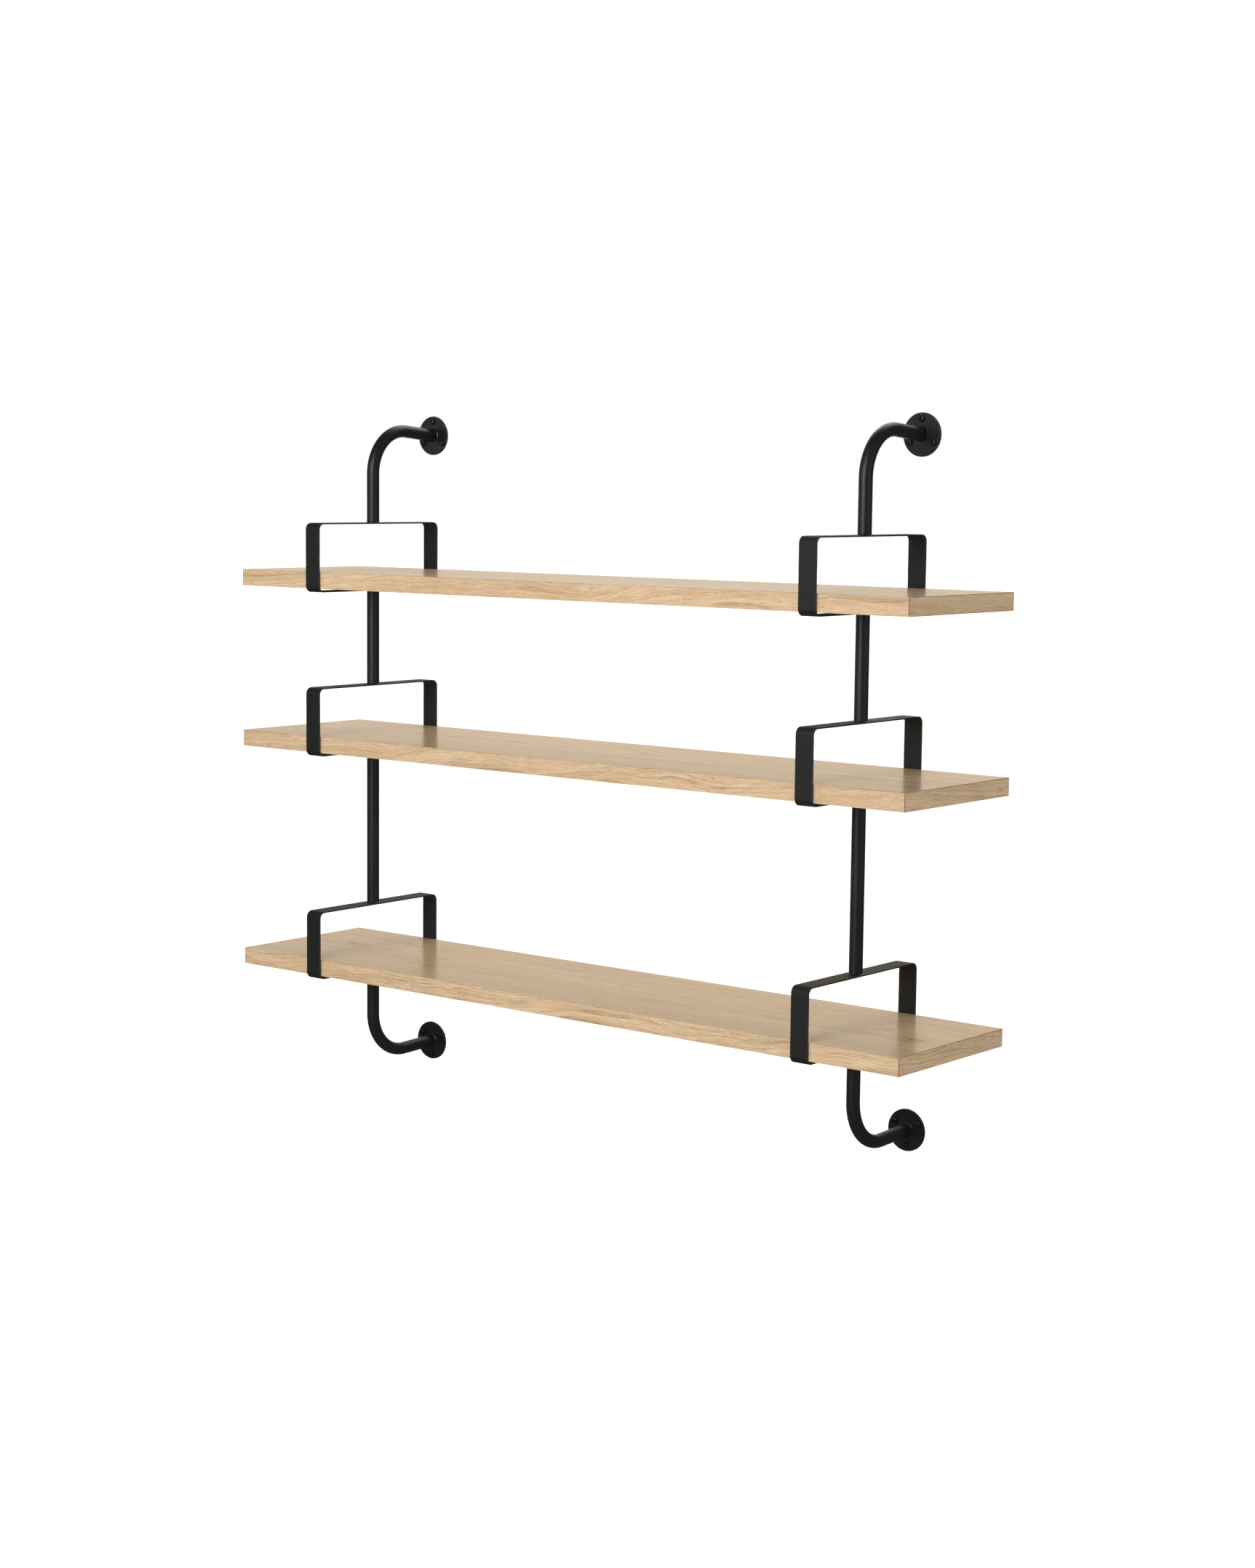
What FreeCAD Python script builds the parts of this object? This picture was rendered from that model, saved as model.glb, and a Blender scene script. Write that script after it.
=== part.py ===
"""Wall shelf: three oak-faced boards held in the flat-bar loops of two hanging steel frames.

Frame of the part, in millimetres: +X runs along the boards to the right, the wall is the plane
Y = 0 and the shelf stands out of it towards -Y, +Z is up. The origin is on the wall, at the centre
of the four outermost wall screws.
"""

import math
import os

import FreeCAD
import Part

V = FreeCAD.Vector

# ---- boards ----------------------------------------------------------------------------------
BOARD_LENGTH = 1219.0
BOARD_DEPTH = 254.0
BOARD_THICKNESS = 25.0
VENEER_THICKNESS = 0.6
BAND_THICKNESS = 1.2
BOARD_ARRIS = 1.0  # radius of the eased edges

# ---- flat-bar loops --------------------------------------------------------------------------
BAR_WIDTH = 28.6
BAR_THICKNESS = 2.0
BAR_ARRIS = 0.6  # radius of the bar's long edges
LOOP_HEIGHT = 104.0
LOOP_BEND = 10.0  # outside radius of the loop's corners
BOARD_CLEARANCE = 0.9  # between a board's long edge and the bar beside it
WALL_GAP = 6.0  # between the wall and the back of the loops

# ---- round tubes -----------------------------------------------------------------------------
TUBE_RADIUS = 9.5
TUBE_WALL = 1.5
ARM_BEND = 66.0  # centre-line radius
ARM_OVERBEND = {"upper": 5.0, "lower": 2.0}  # degrees that the arms are bent past a right angle
UPPER_ARM_RISE = 134.6  # top loop to the centre of the upper flange
LOWER_ARM_DROP = 136.4  # bottom loop to the centre of the lower flange

# ---- layout ----------------------------------------------------------------------------------
FRAME_SPACING = 908.0  # left frame to right frame
UPPER_PITCH = 248.0  # top board to middle board
LOWER_PITCH = 342.0  # middle board to bottom board

# ---- wall flanges and welds ------------------------------------------------------------------
FLANGE_RADIUS = 30.0
FLANGE_THICKNESS = 3.0
FLANGE_RIM = 0.8  # rounding of the front rim
SCREW_CIRCLE = 44.0  # diameter
SCREW_COUNT = 3
FLANGE_HOLE_RADIUS = 2.8
TUBE_WELD = 1.3  # leg of the fillet between tube and loop
FLANGE_WELD = 1.5  # leg of the fillet between tube and flange
WELD_ROOT = 0.4  # how far inside the tube's skin a bead's outline starts, before the tube is cut out

# ---- screws: radii, the head's height, and the length from under a pan head or over a sunk one ---
WALL_SCREW = {"head": 4.8, "height": 3.4, "shank": 2.4, "length": 13.0, "recess": 2.8}
WALL_SCREW_NECK = 2.6  # radius, through the flange
BOARD_SCREW = {"head": 4.0, "height": 2.0, "shank": 2.0, "length": 18.0, "recess": 2.2}
SINK_CLEARANCE = 0.1  # round a sunk head
RECESS_SLOT = 0.55  # half width of one arm of the cross recess
RECESS_DEPTH = 0.6  # share of the head's height
BOARD_SCREW_OFFSET = 70.0  # in front of and behind the tube

# ---- worked out from the sizes above ---------------------------------------------------------
LOOP_DEPTH = BOARD_DEPTH + 2 * (BOARD_CLEARANCE + BAR_THICKNESS)
LOOP_BACK = -WALL_GAP
LOOP_FRONT = LOOP_BACK - LOOP_DEPTH
TUBE_Y = (LOOP_FRONT + LOOP_BACK) / 2
BOARD_BACK = LOOP_BACK - BAR_THICKNESS - BOARD_CLEARANCE
BOARD_FRONT = BOARD_BACK - BOARD_DEPTH
FRAME_X = {"left": -FRAME_SPACING / 2, "right": FRAME_SPACING / 2}

# A board lies on the inside bends of its loops: its eased arris touches them above the flat.
BEND_ROOM = LOOP_BEND - BAR_THICKNESS - BOARD_ARRIS
BOARD_LIFT = BEND_ROOM - math.sqrt(BEND_ROOM**2 - (BEND_ROOM - BOARD_CLEARANCE) ** 2)

FLANGE_SPAN = UPPER_ARM_RISE + UPPER_PITCH + LOWER_PITCH + LOOP_HEIGHT + LOWER_ARM_DROP
FLANGE_SIDE = {"upper": 1, "lower": -1}
FLANGE_Z = {end: side * FLANGE_SPAN / 2 for end, side in FLANGE_SIDE.items()}
LOOP_BOTTOM = {"top": FLANGE_Z["upper"] - UPPER_ARM_RISE - LOOP_HEIGHT}
LOOP_BOTTOM["middle"] = LOOP_BOTTOM["top"] - UPPER_PITCH
LOOP_BOTTOM["bottom"] = LOOP_BOTTOM["middle"] - LOWER_PITCH

X_AXIS, Y_AXIS, Z_AXIS = V(1, 0, 0), V(0, 1, 0), V(0, 0, 1)


def block(low, high):
    """A box from its lowest to its highest corner."""
    size = high - low
    return Part.makeBox(size.x, size.y, size.z, low)


def export(node, shapes):
    """Write one node; several solids go in as a group of separate solids."""
    shape = shapes[0] if len(shapes) == 1 else Part.makeCompound(shapes)
    if not shape.isValid():
        raise ValueError(f"{node} is not a valid shape")
    shape.exportStep(f"parts/{node}.step")


# ---- boards ----------------------------------------------------------------------------------
def board_pieces(level):
    """Core, two veneers and four edge bands, cut out of one block with eased edges."""
    half = BOARD_LENGTH / 2
    low = V(-half, BOARD_FRONT, LOOP_BOTTOM[level] + BAR_THICKNESS + BOARD_LIFT)
    high = V(half, BOARD_BACK, low.z + BOARD_THICKNESS)
    whole = block(low, high)
    whole = whole.makeFillet(BOARD_ARRIS, whole.Edges)
    veneer, band = V(0, 0, VENEER_THICKNESS), BAND_THICKNESS
    core_low, core_high = low + V(band, band, veneer.z), high - V(band, band, veneer.z)
    regions = {
        "upper_veneer": (V(low.x, low.y, core_high.z), high),
        "lower_veneer": (low, V(high.x, high.y, core_low.z)),
        "front_band": (V(core_low.x, low.y, core_low.z), V(core_high.x, core_low.y, core_high.z)),
        "back_band": (V(core_low.x, core_high.y, core_low.z), V(core_high.x, high.y, core_high.z)),
        "left_band": (V(low.x, low.y, core_low.z), V(core_low.x, high.y, core_high.z)),
        "right_band": (V(core_high.x, low.y, core_low.z), V(high.x, high.y, core_high.z)),
        "core": (core_low, core_high),
    }
    pieces = {name: whole.common(block(*corners)) for name, corners in regions.items()}
    for side in FRAME_X:
        for place in board_screw_places(side, level):
            pilot = board_screw(place)
            pieces["lower_veneer"] = pieces["lower_veneer"].cut(pilot)
            pieces["core"] = pieces["core"].cut(pilot)
    return pieces


# ---- loops -----------------------------------------------------------------------------------
def rounded_frame(y0, y1, z0, z1, radius):
    """A closed wire in the YZ plane: a rectangle with rounded corners."""
    rectangle = block(V(0, y0, z0), V(1, y1, z1))
    corners = [e for e in rectangle.Edges if abs(e.tangentAt(e.FirstParameter).x) > 0.5]
    rounded = rectangle.makeFillet(radius, corners)
    face = min(rounded.Faces, key=lambda f: f.CenterOfMass.x)
    return face.OuterWire


def loop(side, level):
    """Flat bar bent into a closed rounded rectangle, countersunk for its board screws."""
    z0 = LOOP_BOTTOM[level]
    outer = rounded_frame(LOOP_FRONT, LOOP_BACK, z0, z0 + LOOP_HEIGHT, LOOP_BEND)
    t = BAR_THICKNESS
    inner = rounded_frame(LOOP_FRONT + t, LOOP_BACK - t, z0 + t, z0 + LOOP_HEIGHT - t, LOOP_BEND - t)
    start = V(FRAME_X[side] - BAR_WIDTH / 2, 0, 0)
    rings = [Part.Face(wire).extrude(V(BAR_WIDTH, 0, 0)).translated(start) for wire in (outer, inner)]
    ring = rings[0].cut(rings[1])
    ring = ring.makeFillet(BAR_ARRIS, [e for e in ring.Edges if e.BoundBox.XLength < BAR_ARRIS])
    wide, narrow = BOARD_SCREW["head"] + SINK_CLEARANCE, BOARD_SCREW["shank"] + SINK_CLEARANCE
    for place in board_screw_places(side, level):
        ring = ring.cut(Part.makeCone(wide, narrow, t, place, Z_AXIS))
    return ring


# ---- tubes -----------------------------------------------------------------------------------
def tube_along(path, start, direction):
    """A round tube swept along a wire."""
    skins = []
    for radius in (TUBE_RADIUS, TUBE_RADIUS - TUBE_WALL):
        circle = Part.Wire(Part.makeCircle(radius, start, direction))
        skins.append(path.makePipeShell([circle], True, False))
    return skins[0].cut(skins[1])


def arm_end_direction(end):
    """The way an arm's outer end points where it meets its flange."""
    overbend = math.radians(ARM_OVERBEND[end])
    return V(0, math.cos(overbend), -FLANGE_SIDE[end] * math.sin(overbend))


def arm(side, end, loop_z):
    """A tube from the loop, straight, round one bend, and straight on to the flange's face."""
    x, up = FRAME_X[side], FLANGE_SIDE[end]
    overbend = math.radians(ARM_OVERBEND[end])
    end_y = TUBE_Y + ARM_BEND * (1 + math.sin(overbend))
    end_z = FLANGE_Z[end] - up * (end_y + FLANGE_THICKNESS) * math.tan(overbend)
    centre = V(x, TUBE_Y + ARM_BEND, end_z - up * ARM_BEND * math.cos(overbend))
    half_turn = (math.pi / 2 + overbend) / 2
    to_middle = V(0, -math.cos(half_turn), up * math.sin(half_turn))
    foot = V(x, TUBE_Y, loop_z)
    bend_start = V(x, TUBE_Y, centre.z)
    bend_end = V(x, end_y, end_z)
    face_centre = V(x, -FLANGE_THICKNESS, FLANGE_Z[end])
    past_face = face_centre + arm_end_direction(end) * FLANGE_THICKNESS
    edges = [
        Part.LineSegment(foot, bend_start).toShape(),
        Part.Arc(bend_start, centre + to_middle * ARM_BEND, bend_end).toShape(),
        Part.LineSegment(bend_end, past_face).toShape(),
    ]
    tube = tube_along(Part.Wire(edges), foot, V(0, 0, up))
    reach = V(FLANGE_RADIUS, 0, FLANGE_RADIUS)
    return tube.cut(block(face_centre - reach, face_centre + reach + V(0, FLANGE_RADIUS, 0)))


def upright(side, low_z, high_z):
    """A straight tube between two loops."""
    foot = V(FRAME_X[side], TUBE_Y, low_z)
    skins = [
        Part.makeCylinder(radius, high_z - low_z, foot, Z_AXIS)
        for radius in (TUBE_RADIUS, TUBE_RADIUS - TUBE_WALL)
    ]
    return skins[0].cut(skins[1])


def weld_bead(centre, direction, leg, tube_direction):
    """A hollow-faced fillet round a tube's end, in a ring that grows away from its seat."""
    root = V(TUBE_RADIUS - WELD_ROOT, 0, 0)
    seat, crest = V(TUBE_RADIUS + leg, 0, 0), root + V(0, 0, leg + WELD_ROOT)
    sag = V(TUBE_RADIUS + 0.38 * leg, 0, 0.38 * leg)
    outline = Part.Wire([
        Part.LineSegment(root, seat).toShape(),
        Part.Arc(seat, sag, crest).toShape(),
        Part.LineSegment(crest, root).toShape(),
    ])
    ring = Part.Face(outline).revolve(V(0, 0, 0), Z_AXIS, 360)
    ring.Placement = FreeCAD.Placement(centre, FreeCAD.Rotation(Z_AXIS, direction))
    start = centre - tube_direction * TUBE_RADIUS
    return ring.cut(Part.makeCylinder(TUBE_RADIUS, 3 * TUBE_RADIUS, start, tube_direction))


def weld_beads(side):
    """The six beads where tubes stand on loops."""
    beads = []
    for level, z0 in LOOP_BOTTOM.items():
        above = V(FRAME_X[side], TUBE_Y, z0 + LOOP_HEIGHT)
        below = V(FRAME_X[side], TUBE_Y, z0)
        beads.append(weld_bead(above, Z_AXIS, TUBE_WELD, Z_AXIS))
        beads.append(weld_bead(below, -Z_AXIS, TUBE_WELD, Z_AXIS))
    return beads


# ---- flanges ---------------------------------------------------------------------------------
def wall_screw_places(side, end):
    """The screws' centres on the wall: one away from the shelf's middle, two towards it."""
    outward = FLANGE_SIDE[end] * 90
    places = []
    for index in range(SCREW_COUNT):
        angle = math.radians(outward + index * 360 / SCREW_COUNT)
        reach = SCREW_CIRCLE / 2
        x, z = reach * math.cos(angle), reach * math.sin(angle)
        places.append(V(FRAME_X[side] + x, 0, FLANGE_Z[end] + z))
    return places


def flange(side, end):
    """A round plate with a softened front rim and three screw holes."""
    centre = V(FRAME_X[side], 0, FLANGE_Z[end])
    plate = Part.makeCylinder(FLANGE_RADIUS, FLANGE_THICKNESS, centre, -Y_AXIS)
    front = min(plate.Edges, key=lambda e: e.BoundBox.YMax)
    plate = plate.makeFillet(FLANGE_RIM, [front])
    for place in wall_screw_places(side, end):
        hole = Part.makeCylinder(FLANGE_HOLE_RADIUS, FLANGE_THICKNESS, place, -Y_AXIS)
        plate = plate.cut(hole)
    return plate


# ---- screws ----------------------------------------------------------------------------------
def screw(size, head, top, place, direction):
    """A head, given its outer face's height, with a cross recess and a pointed shank.

    The head is drawn round the Z axis, and direction points from it to the tip.
    """
    depth = size["height"] * RECESS_DEPTH
    for reach_x, reach_y in ((size["recess"], RECESS_SLOT), (RECESS_SLOT, size["recess"])):
        head = head.cut(block(V(-reach_x, -reach_y, top), V(reach_x, reach_y, top + depth)))
    root, tip = top + size["height"], 2 * size["shank"]
    shoulder = size["length"] - tip
    body = Part.makeCylinder(size["shank"], shoulder - root, V(0, 0, root))
    point = Part.makeCone(size["shank"], size["shank"] / 6, tip, V(0, 0, shoulder))
    whole = head.fuse([body, point]).removeSplitter()
    whole.Placement = FreeCAD.Placement(place, FreeCAD.Rotation(Z_AXIS, direction))
    return whole


def wall_screws(side, end):
    """The three pan-head screws of one flange, pointing into the wall."""
    height = WALL_SCREW["height"]
    head = Part.makeCylinder(WALL_SCREW["head"], height, V(0, 0, -height))
    crown = min(head.Edges, key=lambda e: e.BoundBox.ZMax)
    head = head.makeFillet(height * 0.6, [crown])
    head = head.fuse(Part.makeCylinder(WALL_SCREW_NECK, FLANGE_THICKNESS))
    seats = [place + V(0, -FLANGE_THICKNESS, 0) for place in wall_screw_places(side, end)]
    return [screw(WALL_SCREW, head, -height, seat, Y_AXIS) for seat in seats]


def board_screw_places(side, level):
    """The middles of the sunk heads, on the underside of a loop."""
    z0 = LOOP_BOTTOM[level]
    offsets = (-BOARD_SCREW_OFFSET, BOARD_SCREW_OFFSET)
    return [V(FRAME_X[side], TUBE_Y + offset, z0) for offset in offsets]


def board_screw(place):
    """A countersunk screw that comes up through a loop into its board."""
    head = Part.makeCone(BOARD_SCREW["head"], BOARD_SCREW["shank"], BOARD_SCREW["height"])
    return screw(BOARD_SCREW, head, 0, place, Z_AXIS)


# ---- write the nodes -------------------------------------------------------------------------
os.makedirs("parts", exist_ok=True)

for level in LOOP_BOTTOM:
    for name, piece in board_pieces(level).items():
        export(f"{level}_board_{name}", piece.Solids)

for side in FRAME_X:
    loop_top = {level: z0 + LOOP_HEIGHT for level, z0 in LOOP_BOTTOM.items()}
    export(f"{side}_upper_arm", [arm(side, "upper", loop_top["top"])])
    export(f"{side}_upper_upright", [upright(side, loop_top["middle"], LOOP_BOTTOM["top"])])
    export(f"{side}_lower_upright", [upright(side, loop_top["bottom"], LOOP_BOTTOM["middle"])])
    export(f"{side}_lower_arm", [arm(side, "lower", LOOP_BOTTOM["bottom"])])
    for level in LOOP_BOTTOM:
        export(f"{side}_{level}_loop", [loop(side, level)])
    export(f"{side}_loop_welds", weld_beads(side))
    screw_holes = [place for level in LOOP_BOTTOM for place in board_screw_places(side, level)]
    export(f"{side}_board_screws", [board_screw(place) for place in screw_holes])
    for end in FLANGE_SIDE:
        face = V(FRAME_X[side], -FLANGE_THICKNESS, FLANGE_Z[end])
        weld = weld_bead(face, -Y_AXIS, FLANGE_WELD, arm_end_direction(end))
        export(f"{side}_{end}_flange", [flange(side, end)])
        export(f"{side}_{end}_flange_weld", [weld])
        export(f"{side}_{end}_wall_screws", wall_screws(side, end))
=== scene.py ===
"""Looks for the wall shelf: oak and powder-coat finishes, studio and camera."""

import math
from collections import namedtuple

import bmesh
import bpy
from mathutils import Matrix, Vector


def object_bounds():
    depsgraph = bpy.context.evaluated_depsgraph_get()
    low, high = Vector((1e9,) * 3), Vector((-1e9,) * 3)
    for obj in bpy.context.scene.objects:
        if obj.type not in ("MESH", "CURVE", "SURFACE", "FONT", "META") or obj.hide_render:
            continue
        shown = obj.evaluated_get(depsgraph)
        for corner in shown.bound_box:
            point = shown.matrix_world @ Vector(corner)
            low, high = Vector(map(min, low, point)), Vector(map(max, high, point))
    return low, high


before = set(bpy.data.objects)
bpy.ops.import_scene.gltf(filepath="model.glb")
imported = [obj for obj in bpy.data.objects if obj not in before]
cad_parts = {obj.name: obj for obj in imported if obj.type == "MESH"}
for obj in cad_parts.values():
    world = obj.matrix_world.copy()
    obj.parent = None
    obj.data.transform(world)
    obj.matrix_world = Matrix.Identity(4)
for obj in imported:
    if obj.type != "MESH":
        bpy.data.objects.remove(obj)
CAD_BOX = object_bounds()


# ---- node graphs ---------------------------------------------------------------------------------
class Graph:
    """Short calls that build one material's nodes; a value is a number, a tuple or another socket."""

    def __init__(self, tree):
        self.tree = tree
        tree.nodes.clear()

    def node(self, kind, **settings):
        made = self.tree.nodes.new(kind)
        for name, value in settings.items():
            setattr(made, name, value)
        return made

    def feed(self, socket, value):
        if isinstance(value, bpy.types.NodeSocket):
            self.tree.links.new(value, socket)
        else:
            socket.default_value = value

    def math(self, operation, a, b=0.0):
        made = self.node("ShaderNodeMath", operation=operation)
        self.feed(made.inputs[0], a)
        self.feed(made.inputs[1], b)
        return made.outputs[0]

    def add(self, a, b):
        return self.math("ADD", a, b)

    def subtract(self, a, b):
        return self.math("SUBTRACT", a, b)

    def times(self, a, b):
        return self.math("MULTIPLY", a, b)

    def split(self, vector):
        made = self.node("ShaderNodeSeparateXYZ")
        self.feed(made.inputs[0], vector)
        return made.outputs

    def join(self, x, y, z):
        made = self.node("ShaderNodeCombineXYZ")
        for socket, value in zip(made.inputs, (x, y, z)):
            self.feed(socket, value)
        return made.outputs[0]

    def stretched(self, spots, rates, squeeze=1.0):
        """A vector from three coordinates, each at its own rate, the first squeezed further."""
        x, y, z = rates
        return self.join(*(self.times(spot, rate) for spot, rate in zip(spots, (x * squeeze, y, z))))

    def noise(self, vector, scale=1.0, detail=2.0, roughness=0.5):
        """Noise from 0 to 1 over a vector."""
        return self.texture("3D", "Vector", vector, scale, detail, roughness)

    def line_noise(self, value, scale=1.0, detail=2.0, roughness=0.5):
        """Noise from 0 to 1 over one number."""
        return self.texture("1D", "W", value, scale, detail, roughness)

    def texture(self, dimensions, source, value, scale, detail, roughness):
        made = self.node("ShaderNodeTexNoise", noise_dimensions=dimensions)
        self.feed(made.inputs[source], value)
        made.inputs["Scale"].default_value = scale
        made.inputs["Detail"].default_value = detail
        made.inputs["Roughness"].default_value = roughness
        return made.outputs[0]

    def chance(self, value):
        """A random number from 0 to 1 for each whole number."""
        made = self.node("ShaderNodeTexWhiteNoise", noise_dimensions="1D")
        self.feed(made.inputs["W"], value)
        return made.outputs["Value"]

    def ramp(self, value, low, high, to_low=0.0, to_high=1.0):
        """Smoothly from to_low, where value is low or less, to to_high."""
        made = self.node("ShaderNodeMapRange", interpolation_type="SMOOTHSTEP")
        for socket, number in zip(made.inputs, (value, low, high, to_low, to_high)):
            self.feed(socket, number)
        return made.outputs[0]

    def mix(self, share, a, b):
        made = self.node("ShaderNodeMix", data_type="RGBA")
        for name, value in (("Factor_Float", share), ("A_Color", a), ("B_Color", b)):
            socket = next(s for s in made.inputs if s.identifier == name)
            self.feed(socket, value)
        return next(s for s in made.outputs if s.identifier == "Result_Color")

    def bump(self, height, distance):
        made = self.node("ShaderNodeBump")
        made.inputs["Distance"].default_value = distance
        self.feed(made.inputs["Height"], height)
        return made.outputs[0]


def linear(red, green, blue):
    """A display colour from 0 to 255 as the linear colour that a shader takes."""
    def channel(value):
        value /= 255
        return value / 12.92 if value <= 0.04045 else ((value + 0.055) / 1.055) ** 2.4
    return channel(red), channel(green), channel(blue), 1.0


def grey(level):
    """A neutral linear colour."""
    return level, level, level, 1.0


def new_material(name):
    """A material with a Principled shader, its graph, and its object coordinates in metres."""
    material = bpy.data.materials.new(name)
    material.use_nodes = True
    graph = Graph(material.node_tree)
    shader = graph.node("ShaderNodeBsdfPrincipled")
    output = graph.node("ShaderNodeOutputMaterial")
    graph.tree.links.new(shader.outputs[0], output.inputs["Surface"])
    place = graph.node("ShaderNodeTexCoord").outputs["Object"]
    return material, graph, shader, place


# ---- oak -----------------------------------------------------------------------------------------
OAK_PALE = linear(225, 198, 160)
OAK_LIGHT = linear(212, 183, 144)
OAK_WARM = linear(200, 166, 124)
OAK_LINE = linear(170, 131, 91)
OAK_STREAK = linear(160, 130, 98)
OAK_PORE = linear(112, 80, 52)
OAK_CUT = linear(150, 92, 58)
OAK_FLECK = linear(236, 212, 178)
OAK_KNOT = linear(104, 68, 42)
LACQUER_IOR = 1.47
GRAIN_DEPTH = 0.00005  # metres of bump

# (along the grain, across it, into the wood) as axes of the row frame
FACE_AXES = (0, 1, 2)
LONG_EDGE_AXES = (0, 2, 1)
END_EDGE_AXES = (1, 2, 0)

# A layer of the figure is noise. Its rates say how often it changes in a metre along the grain,
# across it and into the wood, and it goes from nothing at low to all of its colour at high.
Layer = namedtuple("Layer", "rates detail low high")
DASHES = Layer((30.0, 1200.0, 90.0), 2.0, 0.40, 0.60)
PATCHES = Layer((9.0, 60.0, 40.0), 2.0, 0.32, 0.62)
STRANDS = Layer((5.0, 260.0, 60.0), 3.0, 0.38, 0.66)
TONE = Layer((2.1, 38.0, 33.0), 3.0, 0.36, 0.64)
SMOKE = Layer((4.2, 95.0, 41.0), 3.0, 0.56, 0.70)
PORES = Layer((70.0, 2400.0, 300.0), 1.0, 0.58, 0.68)
FIBRE_RATES = (22.0, 1500.0, 60.0)
FIBRE_LIMITS = (0.35, 0.75)
FLECK_RATES, FLECK_ROUGHNESS = (26.0, 820.0, 90.0), 0.65
DARK_FLECK_LIMITS = (0.50, 0.66)
LIGHT_FLECK_LIMITS = (0.36, 0.48)

# how much of its colour each layer lays on
STRAND_SHARE = 0.55
SMOKE_SHARE = 0.55
LINE_SHARE = 0.85
FIBRE_SHARE = 0.16
DARK_FLECK_SHARE = 0.34
LIGHT_FLECK_SHARE = 0.30
PORE_SHARE = 0.55
KNOT_SHARE = 0.70
CUT_SHARE = 0.90
BAND_RIM_SHARE = 0.30

# how far a spot has to face away from its sheet to count as cut edge, in parts of a normal
VENEER_CUT = (0.35, 0.55)
END_BAND_CUT = (0.15, 0.35)
LONG_BAND_RIM = (0.9, 1.0)

# the grain's straying: a slow wander and a quick small jitter, each with its rates across and into
WANDER_RATES = (9.0, 23.0)
JITTER_RATES = (46.0, 31.0)
JITTER_ALONG = 5  # times the wander's own rate along the grain
JITTER_SIZE = 0.05  # of the wander
HEART_WANDER = 1.5  # of the wander, in depth

# growth rings: how their width drifts, and where each starts and fades, as shares of a ring
RING_DRIFT_RATE, RING_DRIFT = 0.23, 2.4
RING_START = (0.0, 0.12)
RING_FADE = (0.22, 0.85)
RING_LEAST, RING_MORE = 0.30, 0.95  # a weak ring's strength, and what the strongest has besides
UNBROKEN = 0.30  # share of a dark line that shows between its dashes
PORES_IN_RING = (0.05, 0.45, 0.25, 1.0)  # a quarter of the pores' strength outside the porous wood

# x, y and z of a small knot's middle, one over its half widths, and how it bends the grain
KNOT = Vector((0.566, -0.152, -0.3155))
KNOT_RATES = (30.0, 75.0, 60.0)
KNOT_CURL, KNOT_CURL_FALL = 0.8, -0.35
KNOT_PUSH, KNOT_PUSH_FALL = 0.008, -0.12
KNOT_COLOUR_FALL = -6.0

# roughness that the lacquer gains over porous wood, and the heights of the surface's relief
POROUS_ROUGHNESS, PORE_ROUGHNESS = 0.06, 0.15
FIBRE_HEIGHT, LINE_HEIGHT, PORE_HEIGHT = 0.35, 0.35, 0.90


def knot_distance(g, world, spots, axes):
    """Squared distance from the knot, in knot widths, and how far across the grain a spot is."""
    far = 0.0
    for axis in axes:
        gap = g.times(g.subtract(world[axis], KNOT[axis]), KNOT_RATES[axis])
        far = g.add(far, g.times(gap, gap))
    return far, g.subtract(spots[1], KNOT[axes[1]])


def near_knot(g, far, fall):
    """1 at the knot, falling to 0 away from it."""
    return g.math("EXPONENT", g.times(far, fall))


def growth_rings(g, rings, pitch):
    """The dark porous wood of each year: sharp on one side, fading on the other, stronger in some."""
    drift = g.times(g.line_noise(rings, RING_DRIFT_RATE / pitch), RING_DRIFT)
    phase = g.add(g.times(rings, 1 / pitch), drift)
    into = g.math("FRACT", phase)
    strength = g.chance(g.math("FLOOR", phase))
    band = g.times(g.ramp(into, *RING_START), g.ramp(into, *RING_FADE, 1.0, 0.0))
    return g.times(band, g.add(RING_LEAST, g.times(g.times(strength, strength), RING_MORE)))


def cut_edge(g, axes):
    """How much shows of a sheet's darker cut edge: at the board's corners, not on its face."""
    facing = g.split(g.node("ShaderNodeNewGeometry").outputs["True Normal"])
    if axes == FACE_AXES:
        return g.times(g.ramp(g.math("ABSOLUTE", facing[0]), *VENEER_CUT), CUT_SHARE)
    if axes == END_EDGE_AXES:
        tilted = g.add(g.math("ABSOLUTE", facing[1]), g.math("ABSOLUTE", facing[2]))
        return g.times(g.ramp(tilted, *END_BAND_CUT), CUT_SHARE)
    return g.times(g.ramp(g.math("ABSOLUTE", facing[2]), *LONG_BAND_RIM), BAND_RIM_SHARE)


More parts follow.
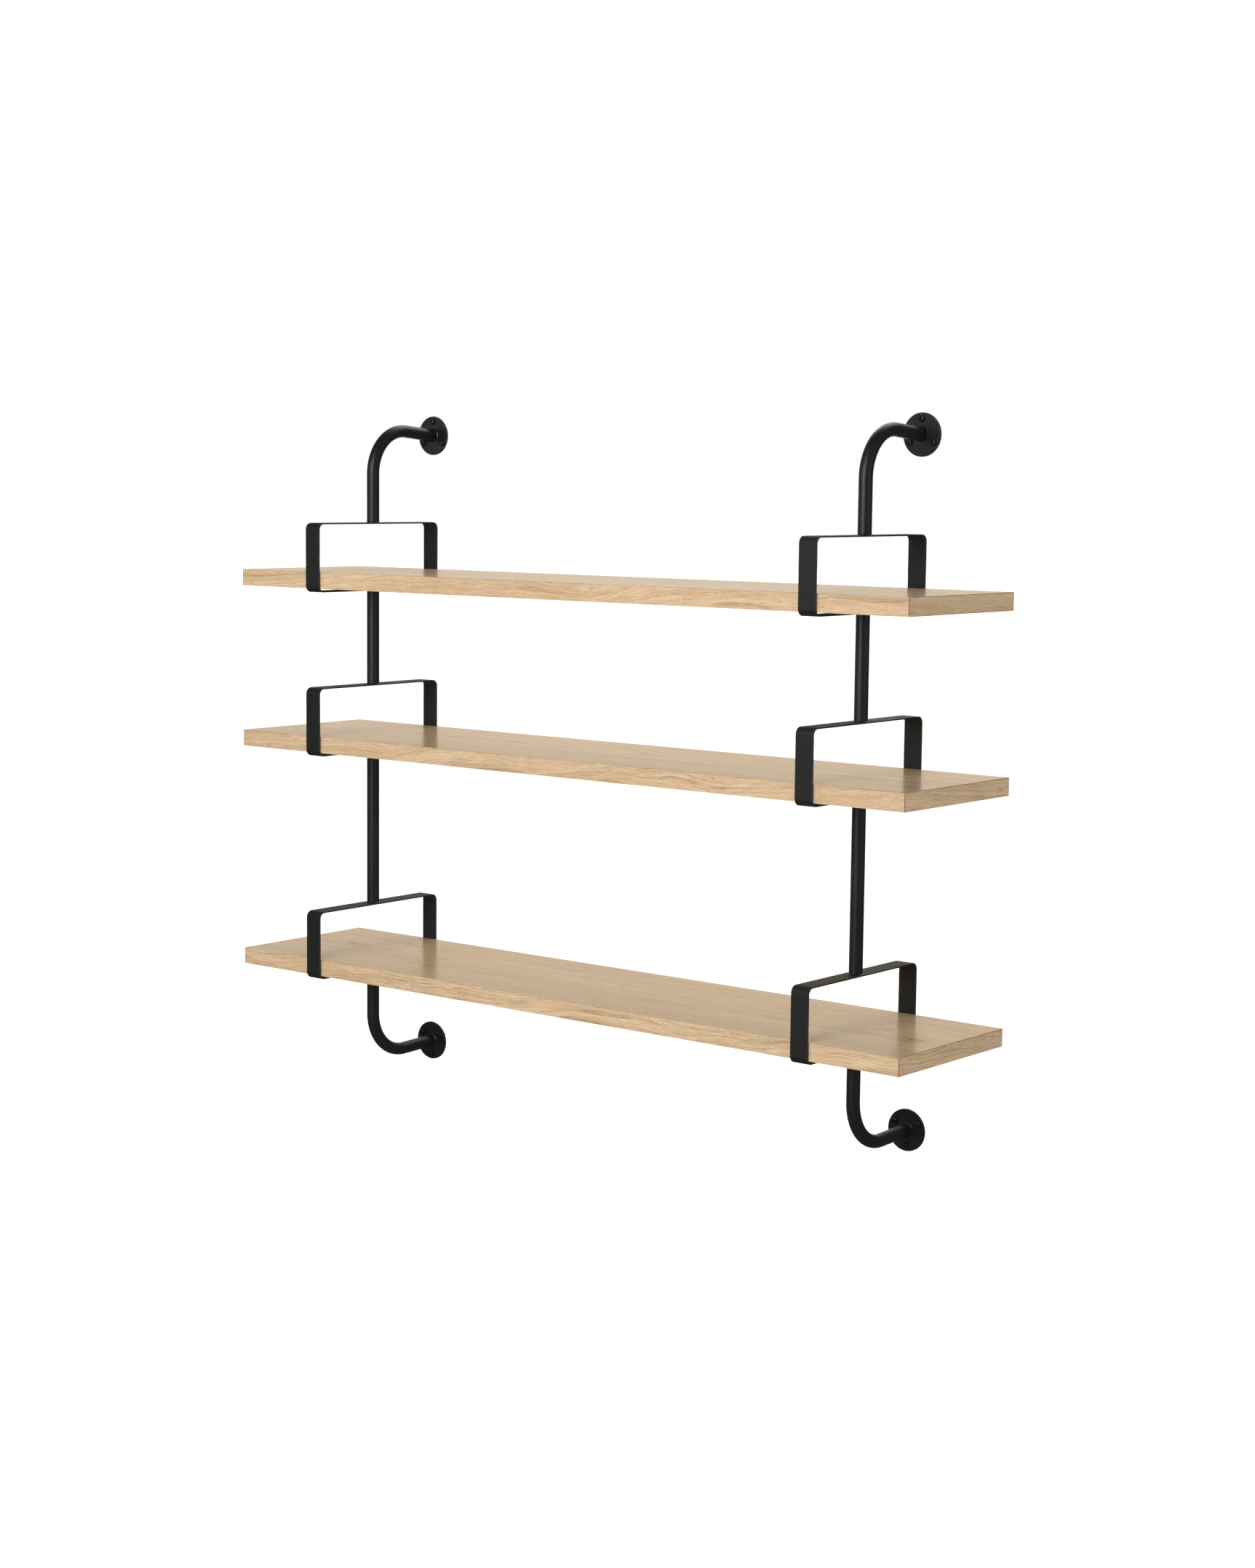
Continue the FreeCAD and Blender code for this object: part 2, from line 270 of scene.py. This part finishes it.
def oak(name, axes, pitch, wander, waves, slope, heart, contrast, short, polish):
    """Sliced oak under satin lacquer.

    pitch is the distance between growth rings, wander how far they stray and waves how often in
    each metre, slope how much they run out of line, heart the (place across, depth, tilt) of the
    tree's middle or None for straight grain, contrast the strength of the figure, short how many
    times shorter than on a broad face its dashes are, and polish the roughness of the lacquer.
    """
    material, g, shader, place = new_material(name)
    world = g.split(place)
    spots = [world[axis] for axis in axes]
    along, across, depth = spots

    def layer(over, kind, squeeze=1.0):
        noise = g.noise(g.stretched(over, kind.rates, squeeze), detail=kind.detail)
        return g.ramp(noise, kind.low, kind.high)

    # the line of the grain: a place across the wood, strayed, sloped and bent round the knot
    slow = g.subtract(g.noise(g.stretched(spots, (waves, *WANDER_RATES)), detail=1.0), 0.5)
    quick = g.noise(g.stretched(spots, (waves * JITTER_ALONG, *JITTER_RATES)), detail=2.0)
    jitter = g.times(g.subtract(quick, 0.5), wander * JITTER_SIZE)
    line = g.add(g.add(across, g.add(g.times(slow, wander), jitter)), g.times(along, slope))
    far, gap = knot_distance(g, world, spots, axes)
    line = g.subtract(line, g.times(near_knot(g, far, KNOT_CURL_FALL), g.times(gap, KNOT_CURL)))
    line = g.subtract(line, g.times(near_knot(g, far, KNOT_PUSH_FALL), KNOT_PUSH))
    rings = line
    if heart is not None:
        middle, deep, tilt = heart
        lift = g.add(g.add(g.times(along, tilt), deep), g.times(slow, wander * HEART_WANDER))
        off = g.subtract(line, middle)
        rings = g.math("SQRT", g.add(g.times(off, off), g.times(lift, lift)))

    grain = (along, line, depth)
    year = growth_rings(g, rings, pitch)
    broken = g.times(layer(grain, DASHES, short), layer(spots, PATCHES))
    dark_line = g.times(year, g.add(UNBROKEN, g.times(broken, 1 - UNBROKEN)))
    pore = g.times(layer(grain, PORES, short), g.ramp(year, *PORES_IN_RING))
    fibre = g.noise(g.stretched(grain, FIBRE_RATES, short), detail=3.0)
    flecks = g.stretched(grain, FLECK_RATES, short)
    fleck = g.noise(flecks, detail=3.0, roughness=FLECK_ROUGHNESS)
    dark_fleck = g.ramp(fleck, *DARK_FLECK_LIMITS)
    light_fleck = g.ramp(fleck, *LIGHT_FLECK_LIMITS, 1.0, 0.0)

    colour = g.mix(layer(grain, TONE), OAK_PALE, OAK_LIGHT)
    for share, strength, paint in (
        (layer(grain, STRANDS, short), STRAND_SHARE * contrast, OAK_WARM),
        (layer(grain, SMOKE), SMOKE_SHARE * contrast, OAK_STREAK),
        (dark_line, LINE_SHARE * contrast, OAK_LINE),
        (g.ramp(fibre, *FIBRE_LIMITS), FIBRE_SHARE, OAK_STREAK),
        (dark_fleck, DARK_FLECK_SHARE * contrast, OAK_LINE),
        (light_fleck, LIGHT_FLECK_SHARE * contrast, OAK_FLECK),
        (pore, PORE_SHARE, OAK_PORE),
        (near_knot(g, far, KNOT_COLOUR_FALL), KNOT_SHARE, OAK_KNOT),
    ):
        colour = g.mix(g.times(share, strength), colour, paint)
    colour = g.mix(cut_edge(g, axes), colour, OAK_CUT)
    g.feed(shader.inputs["Base Color"], colour)

    rough = g.add(polish, g.times(year, POROUS_ROUGHNESS))
    g.feed(shader.inputs["Roughness"], g.add(rough, g.times(pore, PORE_ROUGHNESS)))
    sunk = g.add(g.times(dark_line, LINE_HEIGHT), g.times(pore, PORE_HEIGHT))
    relief = g.subtract(g.times(fibre, FIBRE_HEIGHT), sunk)
    g.feed(shader.inputs["Normal"], g.bump(relief, GRAIN_DEPTH))
    shader.inputs["IOR"].default_value = LACQUER_IOR
    return material


# ---- board core ----------------------------------------------------------------------------------
CHIP_PALE = linear(176, 141, 100)
CHIP_DARK = linear(126, 92, 60)
CHIP_RATE = 420.0  # changes in a metre
CHIP_DEPTH = 0.0002  # metres of bump
CHIP_ROUGHNESS = 0.85


def board_core():
    """Pressed wood particles, seen only where a piece is taken off."""
    material, g, shader, place = new_material("board_core")
    chips = g.noise(place, CHIP_RATE, detail=4.0, roughness=0.7)
    g.feed(shader.inputs["Base Color"], g.mix(g.ramp(chips, 0.35, 0.65), CHIP_PALE, CHIP_DARK))
    g.feed(shader.inputs["Normal"], g.bump(chips, CHIP_DEPTH))
    shader.inputs["Roughness"].default_value = CHIP_ROUGHNESS
    return material


# ---- steel ---------------------------------------------------------------------------------------
BLACK = linear(20, 22, 26)
BAR_BLACK = linear(15, 16, 18)
SCREW_BLACK = linear(19, 19, 20)
COAT_IOR = 1.55
COAT_DEPTH = 0.00005  # metres of bump

# how often each layer of the coat changes in a metre
PEEL_RATE = 520.0
FINE_RATE = 2600.0
CLOUD_RATE = 17.0
DUST_RATE = 1500.0
EDGE_HIGHLIGHT_RATE = 60.0

CLOUD_LIMITS = (0.35, 0.70)
CLOUD_LIGHT, CLOUD_ROUGHNESS = 1.25, 0.06  # times the coat's own colour, and added roughness
FINE_ROUGHNESS = 0.08
DUST_COLOUR = linear(62, 62, 62)
DUST_LIMITS = (0.70, 0.78)
DUST_SHARE = 0.30

# painted highlight: a lighter colour laid in patches where a rounded edge faces partly sideways,
# between a bar's face and its edge, which is made smoother too
EDGE_HIGHLIGHT_COLOUR = linear(96, 95, 93)
EDGE_HIGHLIGHT_START = (0.20, 0.50)
EDGE_HIGHLIGHT_END = (0.85, 0.98)
EDGE_HIGHLIGHT_PATCHES = (0.30, 0.65, 0.35, 1.0)
EDGE_POLISH = 0.10


def powder_coat(name, base, polish, grain, lumps, edge_highlight=0.0):
    """Black powder coat: fine texture over an orange-peel wave, with cloudy and dusty places.

    polish is the roughness, grain and lumps are the heights of the fine texture and of the wave,
    and edge_highlight is how strongly a painted highlight lightens the rounded long edges, which are
    smoother too.
    """
    material, g, shader, place = new_material(name)
    peel = g.noise(place, PEEL_RATE, detail=2.0)
    fine = g.noise(place, FINE_RATE, detail=2.0, roughness=0.6)
    cloud = g.ramp(g.noise(place, CLOUD_RATE, detail=4.0, roughness=0.6), *CLOUD_LIMITS)
    dust = g.ramp(g.noise(place, DUST_RATE, detail=1.0), *DUST_LIMITS)
    lighter = tuple(CLOUD_LIGHT * part for part in base[:3]) + (1.0,)
    colour = g.mix(cloud, base, lighter)
    colour = g.mix(g.times(dust, DUST_SHARE), colour, DUST_COLOUR)
    rough = g.add(polish, g.times(g.subtract(cloud, 0.5), CLOUD_ROUGHNESS))
    rough = g.add(rough, g.times(g.subtract(fine, 0.5), FINE_ROUGHNESS))
    # painted highlight: a lighter colour in patches along the rounded long edges, which are also less
    # rough
    if edge_highlight:
        facing = g.split(g.node("ShaderNodeNewGeometry").outputs["Normal"])
        tilt = g.math("ABSOLUTE", facing[0])
        edge = g.times(g.ramp(tilt, *EDGE_HIGHLIGHT_START), g.ramp(tilt, *EDGE_HIGHLIGHT_END, 1.0, 0.0))
        edge = g.times(edge, g.ramp(g.noise(place, EDGE_HIGHLIGHT_RATE, detail=3.0), *EDGE_HIGHLIGHT_PATCHES))
        colour = g.mix(g.times(edge, edge_highlight), colour, EDGE_HIGHLIGHT_COLOUR)
        rough = g.subtract(rough, g.times(edge, EDGE_POLISH))
    g.feed(shader.inputs["Base Color"], colour)
    g.feed(shader.inputs["Roughness"], rough)
    height = g.add(g.times(peel, lumps), g.times(fine, grain))
    g.feed(shader.inputs["Normal"], g.bump(height, COAT_DEPTH))
    shader.inputs["IOR"].default_value = COAT_IOR
    return material


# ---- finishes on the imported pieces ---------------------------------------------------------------
oak_face = oak("oak_face", FACE_AXES, pitch=0.0042, wander=0.034, waves=1.7, slope=0.006,
               heart=(-0.120, 0.030, 0.022), contrast=0.80, short=1.0, polish=0.20)
oak_long_edge = oak("oak_long_edge", LONG_EDGE_AXES, pitch=0.0024, wander=0.052, waves=4.5,
                    slope=-0.05, heart=None, contrast=1.1, short=1.9, polish=0.42)
oak_end_edge = oak("oak_end_edge", END_EDGE_AXES, pitch=0.0021, wander=0.024, waves=6.0,
                   slope=0.07, heart=None, contrast=1.1, short=1.9, polish=0.42)
core = board_core()
tube_coat = powder_coat("tube_coat", BLACK, polish=0.42, grain=0.5, lumps=0.6)
# the bars carry a painted highlight along their rounded long edges
bar_coat = powder_coat("bar_coat", BAR_BLACK, polish=0.64, grain=0.5, lumps=0.6, edge_highlight=0.5)
flange_coat = powder_coat("flange_coat", BLACK, polish=0.34, grain=0.5, lumps=0.6)
weld_coat = powder_coat("weld_coat", BLACK, polish=0.30, grain=0.4, lumps=1.5)
screw_coat = powder_coat("screw_coat", SCREW_BLACK, polish=0.30, grain=0.3, lumps=0.3)

# the finish of each piece, by the end of its node's name
FINISHES = {
    "_veneer": oak_face,
    "_front_band": oak_long_edge,
    "_back_band": oak_long_edge,
    "_left_band": oak_end_edge,
    "_right_band": oak_end_edge,
    "_core": core,
    "_arm": tube_coat,
    "_upright": tube_coat,
    "_loop": bar_coat,
    "_flange": flange_coat,
    "_weld": weld_coat,
    "_welds": weld_coat,
    "_screws": screw_coat,
}

for node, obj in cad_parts.items():
    finish = next(material for ending, material in FINISHES.items() if node.endswith(ending))
    for slot in obj.material_slots:
        slot.material = finish

# ---- camera: metres and degrees, round the middle of the CAD box ---------------------------------
CAMERA_AZIMUTH = 38.98
CAMERA_ELEVATION = 6.468
CAMERA_ROLL = 0.61
CAMERA_DISTANCE = 3.8964
CAMERA_LENS, SENSOR_WIDTH = 61.766, 36.0  # millimetres
CAMERA_REACH = 100.0
AIM_RIGHT, AIM_UP = 0.0371, -0.0207  # what the camera looks at, from the middle of the box


def place_camera():
    low, high = CAD_BOX
    azimuth, elevation = math.radians(CAMERA_AZIMUTH), math.radians(CAMERA_ELEVATION)
    back = Vector((
        math.sin(azimuth) * math.cos(elevation),
        -math.cos(azimuth) * math.cos(elevation),
        math.sin(elevation),
    ))
    level = (-back).to_track_quat("-Z", "Y").to_matrix()
    aim = (low + high) / 2 + level @ Vector((AIM_RIGHT, AIM_UP, 0))
    turn = level @ Matrix.Rotation(math.radians(CAMERA_ROLL), 3, "Z")
    data = bpy.data.cameras.new("camera")
    data.lens = CAMERA_LENS
    data.sensor_width = SENSOR_WIDTH
    data.clip_end = CAMERA_REACH
    camera = bpy.data.objects.new("camera", data)
    camera.matrix_world = Matrix.Translation(aim + back * CAMERA_DISTANCE) @ turn.to_4x4()
    bpy.context.scene.collection.objects.link(camera)
    bpy.context.scene.camera = camera


# ---- studio --------------------------------------------------------------------------------------
# what the lacquer and the coat mirror: a dim room, bright on one side, most of all near the horizon
BRIGHT_SIDE = Vector((-0.62, 0.77, 0.12))
BRIGHT_FADE = (0.70, 0.96)  # cosines of the angle from the middle of the bright side
HORIZON_FADE = (0.0, 0.10)  # heights of a direction whose length is 1
ROOM_DARK = grey(0.08)
ROOM_BRIGHT = (0.85, 0.75, 0.60, 1.0)
ROOM_HORIZON = (1.32, 1.10, 0.90, 1.0)

# the soft light that falls on everything: stronger from the pale floor than from above
SOFT_BELOW, SOFT_ABOVE = grey(1.0), grey(0.34)
SOFT_FADE = (-0.25, 0.35)

FLOOR_DROP, FLOOR_REACH = 1.6, 60.0  # metres below the shelf, and to each side
FLOOR_PALE, FLOOR_PALER = grey(0.93), grey(0.95)
FLOOR_RATE, FLOOR_ROUGHNESS, FLOOR_GLOW = 2.0, 0.9, 0.9
WHITE = grey(1.0)

# each lamp's place, width, height and watts; they all face one spot
LAMP_AIM = Vector((0.0, 0.0, 0.1))
LAMPS = {
    "key": (Vector((0.35, -3.2, 1.05)), 1.6, 2.1, 53.0),
    "left": (Vector((-2.3, -2.6, 1.0)), 1.8, 2.0, 5.0),
    "right": (Vector((3.3, 0.1, 0.65)), 1.4, 2.0, 5.9),
    "back": (Vector((-0.4, 1.5, 2.2)), 2.6, 1.0, 23.0),
}


def surroundings():
    """White to the camera, the bright-sided room to mirrors, and soft light to everything else."""
    world = bpy.data.worlds.new("studio")
    bpy.context.scene.world = world
    world.use_nodes = True
    g = Graph(world.node_tree)
    direction = g.node("ShaderNodeTexCoord").outputs["Generated"]
    height = g.split(direction)[2]
    dot = g.node("ShaderNodeVectorMath", operation="DOT_PRODUCT")
    g.feed(dot.inputs[0], direction)
    dot.inputs[1].default_value = BRIGHT_SIDE.normalized()
    bright = g.mix(g.ramp(height, *HORIZON_FADE), ROOM_HORIZON, ROOM_BRIGHT)
    mirrored = g.mix(g.ramp(dot.outputs["Value"], *BRIGHT_FADE), ROOM_DARK, bright)
    soft = g.mix(g.ramp(height, *SOFT_FADE), SOFT_BELOW, SOFT_ABOVE)
    rays = g.node("ShaderNodeLightPath").outputs
    colour = g.mix(rays["Is Diffuse Ray"], mirrored, soft)
    colour = g.mix(rays["Is Camera Ray"], colour, WHITE)
    background = g.node("ShaderNodeBackground")
    g.feed(background.inputs["Color"], colour)
    output = g.node("ShaderNodeOutputWorld")
    g.tree.links.new(background.outputs[0], output.inputs["Surface"])


def floor():
    """A plain pale floor, well below the shelf, as under one on a wall."""
    mesh = bmesh.new()
    bmesh.ops.create_grid(mesh, x_segments=1, y_segments=1, size=FLOOR_REACH)
    data = bpy.data.meshes.new("floor")
    mesh.to_mesh(data)
    mesh.free()
    obj = bpy.data.objects.new("floor", data)
    obj.location.z = CAD_BOX[0].z - FLOOR_DROP
    material, g, shader, place = new_material("floor")
    tone = g.noise(place, FLOOR_RATE, detail=3.0)
    g.feed(shader.inputs["Base Color"], g.mix(tone, FLOOR_PALE, FLOOR_PALER))
    shader.inputs["Roughness"].default_value = FLOOR_ROUGHNESS
    shader.inputs["Emission Color"].default_value = WHITE
    shader.inputs["Emission Strength"].default_value = FLOOR_GLOW
    data.materials.append(material)
    obj.visible_diffuse = False
    obj.visible_glossy = False
    bpy.context.scene.collection.objects.link(obj)


def softbox(name, place, width, height, power):
    """A rectangular light that isn't seen by the camera."""
    data = bpy.data.lights.new(name, "AREA")
    data.shape = "RECTANGLE"
    data.size = width
    data.size_y = height
    data.energy = power
    lamp = bpy.data.objects.new(name, data)
    lamp.location = place
    lamp.rotation_euler = (LAMP_AIM - place).to_track_quat("-Z", "Y").to_euler()
    lamp.visible_camera = False
    bpy.context.scene.collection.objects.link(lamp)


place_camera()
surroundings()
floor()
for lamp_name, settings in LAMPS.items():
    softbox(lamp_name, *settings)
bpy.context.scene.view_settings.view_transform = "Standard"
